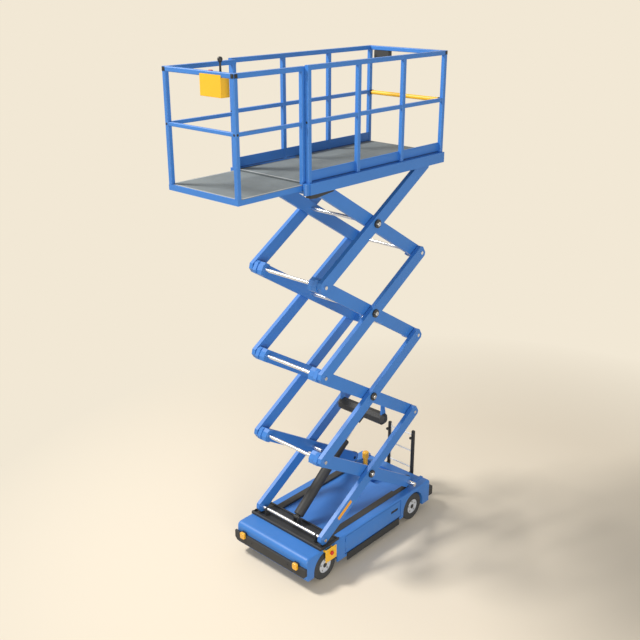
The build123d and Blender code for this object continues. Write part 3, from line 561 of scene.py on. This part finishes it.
for side, name in ((1, "left"), (-1, "right")):
    ya, yb = sorted((side * 0.5701, side * 0.5722))
    pull = block((-0.524, ya, 0.281), (-0.386, yb, 0.315))
    step_face(pull, lambda c, n: n.y * side > 0.9, 0.004, (0, side * -0.0012, 0))
    soften(pull, 0.0006, 1)
    ya, yb = sorted((side * 0.5715, side * 0.5752))
    grip = block((-0.514, ya, 0.302), (-0.396, yb, 0.310))
    settle(joined([pull, soften(grip, 0.0016, 3)]), f"door_pull_{name}", f"door_{name}",
           black_plastic)

housing = block((1.1655, 0.438 - 0.033, 0.3125), (1.1945, 0.438 + 0.033, 0.3425))
step_face(housing, lambda c, n: n.z > 0.9, 0.004, (0, 0, 0.0015))
soften(housing, 0.004, 3)
settle(joined([housing, copied(housing, (0, -0.876, 0))]), "lamp_housings", "chassis", black_plastic)

# Bolt heads on the bumper and on the stop plate
head = drum((1.1975, 0.30, 0.250), "X", 0.011, 0.005, 6)
step_face(head, lambda c, n: n.x > 0.9, 0.003, (0.0015, 0, 0))
soften(head, 0.0008, 2)
settle(in_row(head, [(0, -0.6, 0)]), "bumper_bolts", "chassis", charcoal)

screw = drum((0.738, 0.6432, 0.428), "Y", 0.0055, 0.0024, 20)
step_face(screw, lambda c, n: n.y > 0.9, 0.0022, (0, -0.0010, 0))
soften(screw, 0.0006, 2)
settle(in_row(screw, [(0.149, 0, 0), (0, 0, -0.130), (0.149, 0, -0.130)]), "stop_plate_screws", "chassis",
       zinc)

for i in stages:
    z = BASE_Z + (i - 0.5) * RISE
    cap = lathe([(0.0, 0.5762), (0.007, 0.5762), (0.009, 0.5752), (0.0125, 0.5735), (0.0125, 0.5725), (0.0, 0.5725)],
                (MID_X, 0, z), "Y", steps=28)
    other = lathe([(0.0, -0.5762), (0.007, -0.5762), (0.009, -0.5752), (0.0125, -0.5735), (0.0125, -0.5725),
                   (0.0, -0.5725)], (MID_X, 0, z), "Y", steps=28)
    settle(joined([cap, other]), f"pin_plugs_{i}", f"inner_{i}", zinc)


# Lift cylinder

cyl_foot = Vector((0.715, 0, 0.525))
cyl_dir = (Vector((-0.475, 0, 1.507)) - cyl_foot).normalized()
ring = lathe([(0.0625, 0.0), (0.0655, 0.002), (0.0655, 0.012), (0.0640, 0.014), (0.0640, 0.020), (0.0655, 0.022),
              (0.0655, 0.040), (0.0625, 0.043), (0.0615, 0.043), (0.0615, 0.0), (0.0625, 0.0)],
             (0, 0, 0), "Z", steps=56)
ring.location = cyl_foot + cyl_dir * 1.060
ring.rotation_euler = cyl_dir.to_track_quat("Z", "Y").to_euler()
settle(ring, "barrel_gland_ring", "barrel", charcoal)


# Platform

nosing = block((1.050, -0.43, PLATFORM_TOP), (1.0638, 0.43, PLATFORM_TOP + 0.0028))
pick(nosing, lambda c, n: n.z > 0.9)
bpy.ops.mesh.subdivide(number_cuts=3)
bpy.ops.object.mode_set(mode="OBJECT")
settle(soften(nosing, 0.001, 2), "floor_nosing", "platform", alloy)


def square_cap(at, face, half=0.0185):
    """Black end cap of a square tube, its face domed a little."""
    n = Vector(face)
    flat = Vector((1, 1, 1)) - Vector([abs(c) for c in face])
    lo = Vector(at) - flat * half - n * 0.001 * (1 if sum(face) > 0 else -1)
    ends = [Vector(at) + n * 0.003, Vector(at) - n * 0.001]
    lo = Vector([min(e[k] for e in ends) - flat[k] * half for k in range(3)])
    hi = Vector([max(e[k] for e in ends) + flat[k] * half for k in range(3)])
    obj = block(lo, hi)
    step_face(obj, lambda c, normal: normal.dot(n) > 0.9, 0.006, n * 0.0008)
    return soften(obj, 0.003, 3, 50)


deck_caps = []
for side in (1, -1):
    deck_caps.append(square_cap((DECK_FRONT, side * DECK_POST_Y, DECK_RAIL_Z), (1, 0, 0)))
    deck_caps.append(square_cap((DECK_POST_X, side * DECK_SIDE, DECK_RAIL_Z), (0, side, 0)))
settle(joined(deck_caps), "deck_rail_end_caps", "deck", cap_plastic)

cage_caps = [square_cap((CAGE_REAR_X, side * 0.549, RAIL_Z), (0, side, 0)) for side in (1, -1)]
settle(joined(cage_caps), "cage_rail_end_caps", "platform", cap_plastic)


def plug(at, axis, way):
    """Round black plug where a mid rail's bolt goes through its post."""
    shape = [(0.0, 0.0030), (0.0060, 0.0028), (0.0100, 0.0018), (0.0120, 0.0), (0.0120, -0.001), (0.0, -0.001)]
    return lathe([(r, way * h) for r, h in shape], at, axis, steps=28)


deck_plugs, cage_plugs = [], []
for side in (1, -1):
    deck_plugs.append(plug((DECK_FRONT, side * DECK_POST_Y, DECK_MID_Z), "X", 1))
    deck_plugs.append(plug((DECK_POST_X, side * DECK_SIDE, DECK_MID_Z), "Y", side))
    cage_plugs.append(plug((PLATFORM_FRONT, side * POST_Y, MID_RAIL_Z), "X", 1))
settle(joined(deck_plugs), "deck_mid_rail_plugs", "deck", cap_plastic)
settle(joined(cage_plugs), "cage_mid_rail_plugs", "platform", cap_plastic)


# Control box on the roll-out deck

panel = block((1.8445, 0.056, BOX_TOP), (1.8905, 0.319, BOX_TOP + 0.0022))
step_face(panel, lambda c, n: n.z > 0.9, 0.003, (0, 0, -0.0006))
settle(soften(panel, 0.0008, 1), "control_panel_plate", "deck", black_plastic)

gaiter = [(0.0262, 0.0015), (0.0270, 0.0040), (0.0235, 0.0070), (0.0245, 0.0100), (0.0205, 0.0130), (0.0215, 0.0160),
          (0.0175, 0.0190), (0.0180, 0.0220), (0.0150, 0.0250), (0.0150, 0.0290), (0.0105, 0.0320), (0.0100, 0.1100)]
ball = [(0.0105, 0.1240), (0.0150, 0.1262), (0.0200, 0.1335), (0.0235, 0.1440), (0.0238, 0.1520), (0.0200, 0.1640),
        (0.0120, 0.1705), (0.0, 0.1720)]
stick = lathe(gaiter + ball, (STICK_X, STICK_Y, BOX_TOP), "Z", steps=48, smooth=50)
settle(stick, "joystick_with_gaiter", "deck", black_plastic)
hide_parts("joystick")

knob = lathe([(0.0165, 0.0005), (0.0165, 0.0050), (0.0140, 0.0060), (0.0140, 0.0270), (0.0220, 0.0280),
              (0.0240, 0.0310), (0.0240, 0.0400), (0.0225, 0.0460), (0.0170, 0.0495), (0.0, 0.0500)],
             (STICK_X, BUTTON_Y, BOX_TOP), "Z", steps=48, smooth=50)
settle(knob, "platform_stop_knob", "deck", red_plastic)
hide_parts("joystick")

# Stage, light and camera

clear()
bpy.ops.mesh.primitive_plane_add(size=90, location=(0, 0, 0))
floor = bpy.context.object
floor.name = "studio_floor"
mat, nt, bsdf, coord = new_finish("studio_floor_finish")
BACKDROP = linear((242, 232, 213))
bsdf.inputs["Roughness"].default_value = 0.9
bsdf.inputs["Specular IOR Level"].default_value = 0.1


def seen_rays(tree):
    """1 for the rays that show the backdrop: from the camera, and by gloss or glass."""
    path = tree.nodes.new("ShaderNodeLightPath")
    last = path.outputs["Is Camera Ray"]
    for key in ("Is Glossy Ray", "Is Transmission Ray"):
        m = tree.nodes.new("ShaderNodeMath")
        m.operation = "MAXIMUM"
        tree.links.new(last, m.inputs[0])
        tree.links.new(path.outputs[key], m.inputs[1])
        last = m.outputs[0]
    return last


# The floor that is seen is paler than the one that throws light on the machine
nt.links.new(mix(nt, seen_rays(nt), linear((200, 191, 176)), linear((237, 227, 210))), bsdf.inputs["Base Color"])

# Away from the machine the floor turns into the plain colour of the backdrop
flat = nt.nodes.new("ShaderNodeVectorMath")
flat.operation = "LENGTH"
shift = nt.nodes.new("ShaderNodeMapping")
shift.inputs["Location"].default_value = (1.0, -1.5, 0.0)
nt.links.new(coord.outputs["Object"], shift.inputs["Vector"])
nt.links.new(shift.outputs["Vector"], flat.inputs[0])
away = ramp(nt, flat.outputs["Value"], 3.2, 6.8)
plain = nt.nodes.new("ShaderNodeEmission")
plain.inputs["Color"].default_value = BACKDROP
blend = nt.nodes.new("ShaderNodeMixShader")
nt.links.new(multiplied(nt, [away, seen_rays(nt)]), blend.inputs[0])
nt.links.new(bsdf.outputs[0], blend.inputs[1])
nt.links.new(plain.outputs[0], blend.inputs[2])
nt.links.new(blend.outputs[0], nt.nodes["Material Output"].inputs["Surface"])
floor.data.materials.append(mat)

world = bpy.data.worlds.new("studio_air")
bpy.context.scene.world = world
world.use_nodes = True
wnt = world.node_tree
bg = wnt.nodes["Background"]
bg.inputs["Color"].default_value = linear((252, 250, 246))
bg.inputs["Strength"].default_value = 0.42
seen = wnt.nodes.new("ShaderNodeBackground")
seen.inputs["Color"].default_value = BACKDROP
seen.inputs["Strength"].default_value = 1.0
choose = wnt.nodes.new("ShaderNodeMixShader")
wnt.links.new(seen_rays(wnt), choose.inputs[0])
wnt.links.new(bg.outputs[0], choose.inputs[1])
wnt.links.new(seen.outputs[0], choose.inputs[2])
wnt.links.new(choose.outputs[0], wnt.nodes["World Output"].inputs["Surface"])


def lamp(name, place, aim, size, power, rgb=(255, 250, 242)):
    data = bpy.data.lights.new(name, "AREA")
    data.shape = "DISK"
    data.size = size
    data.energy = power
    data.color = linear(rgb)[:3]
    obj = bpy.data.objects.new(name, data)
    bpy.context.collection.objects.link(obj)
    obj.location = place
    obj.rotation_euler = (Vector(aim) - Vector(place)).to_track_quat("-Z", "Y").to_euler()
    return obj


lamp("key_light", (5.5, -6.2, 12.4), (0.0, 0.0, 1.0), 3.0, 1620)
lamp("fill_light", (7.5, 10.0, 3.2), (0.0, 0.0, 2.6), 6.0, 760)

camera_data = bpy.data.cameras.new("photo_camera")
camera_data.sensor_width = 36.0
camera_data.lens = 50.23
camera = bpy.data.objects.new("photo_camera", camera_data)
bpy.context.collection.objects.link(camera)
camera.location = (7.2377, 6.3858, 6.6505)
yaw, pitch = math.radians(-137.336), math.radians(-21.435)
look = Vector((math.cos(yaw) * math.cos(pitch), math.sin(yaw) * math.cos(pitch), math.sin(pitch)))
camera.rotation_euler = look.to_track_quat("-Z", "Y").to_euler()
camera_data.clip_end = 200
bpy.context.scene.camera = camera
bpy.context.scene.view_settings.view_transform = "Standard"
